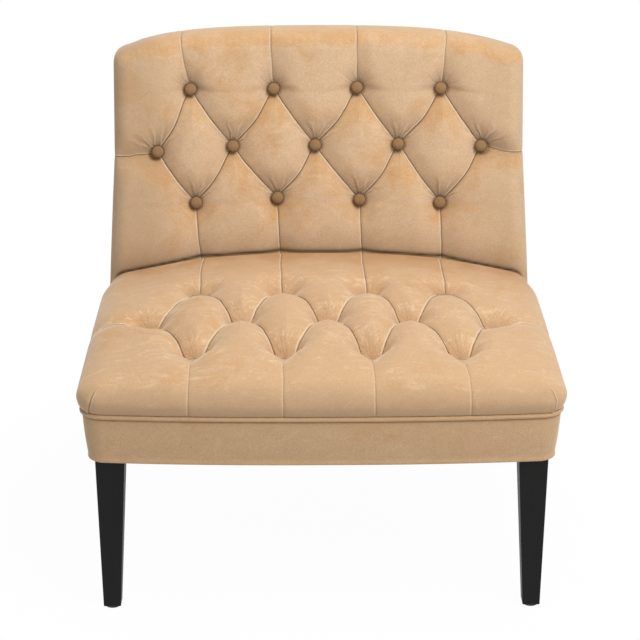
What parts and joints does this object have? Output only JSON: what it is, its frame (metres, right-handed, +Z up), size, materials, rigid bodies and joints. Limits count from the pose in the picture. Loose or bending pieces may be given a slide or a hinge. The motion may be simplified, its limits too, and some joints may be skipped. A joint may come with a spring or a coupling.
{
  "type": "armless tufted lounge chair",
  "caption": "Armless lounge chair with a deep buttoned hollowed back, a blind tufted seat, a welted band and square tapered dark wood legs.",
  "frame": {"origin": "on the floor, under the middle of the part's bounding box", "axes": "+X to the right of someone who looks at the front of the chair, +Y from the front of the seat to the back, +Z up"},
  "size_m": [0.744, 0.713, 0.788],
  "materials": {
    "cover": "soft brushed nap",
    "button_cover": "soft brushed nap",
    "leg_wood": "black satin lacquer",
    "frame_wood": "plain sawn",
    "board": "plain board",
    "steel": "zinc plated",
    "brass": "plain",
    "glide": "matte",
    "webbing": "woven",
    "hessian": "coarse weave",
    "foam": "open cell foam",
    "twine": "twisted twine",
    "toggle": "matte",
    "dust_cloth": "thin non-woven cloth"
  },
  "bodies": {
    "root": {"front_seat_rail": "frame_wood", "rear_seat_rail": "frame_wood", "left_seat_rail": "frame_wood", "right_seat_rail": "frame_wood", "corner_blocks": "frame_wood", "corner_block_screws": "steel", "frame_dowels": "frame_wood", "left_back_post": "frame_wood", "right_back_post": "frame_wood", "lower_back_rail": "frame_wood", "top_back_rail": "frame_wood", "post_bolts": "steel", "post_washers": "steel", "post_nuts": "steel", "front_left_leg": "leg_wood", "front_right_leg": "leg_wood", "rear_left_leg": "leg_wood", "rear_right_leg": "leg_wood", "leg_hanger_bolts": "steel", "leg_inserts": "brass", "leg_glides": "glide", "seat_webbing_long": "webbing", "seat_webbing_cross": "webbing", "seat_hessian": "hessian", "seat_foam": "foam", "seat_tuft_ties": "twine", "seat_toggles": "toggle", "seat_cushion": "cover", "back_webbing_up": "webbing", "back_webbing_across": "webbing", "back_hessian": "hessian", "back_foam": "foam", "button_ties": "twine", "back_toggles": "toggle", "back_cushion": "cover", "back_buttons": "button_cover", "back_panel": "board", "outside_back": "cover", "seat_band": "cover", "seat_welt": "cover", "dust_cover": "dust_cloth"}
  },
  "joints": []
}
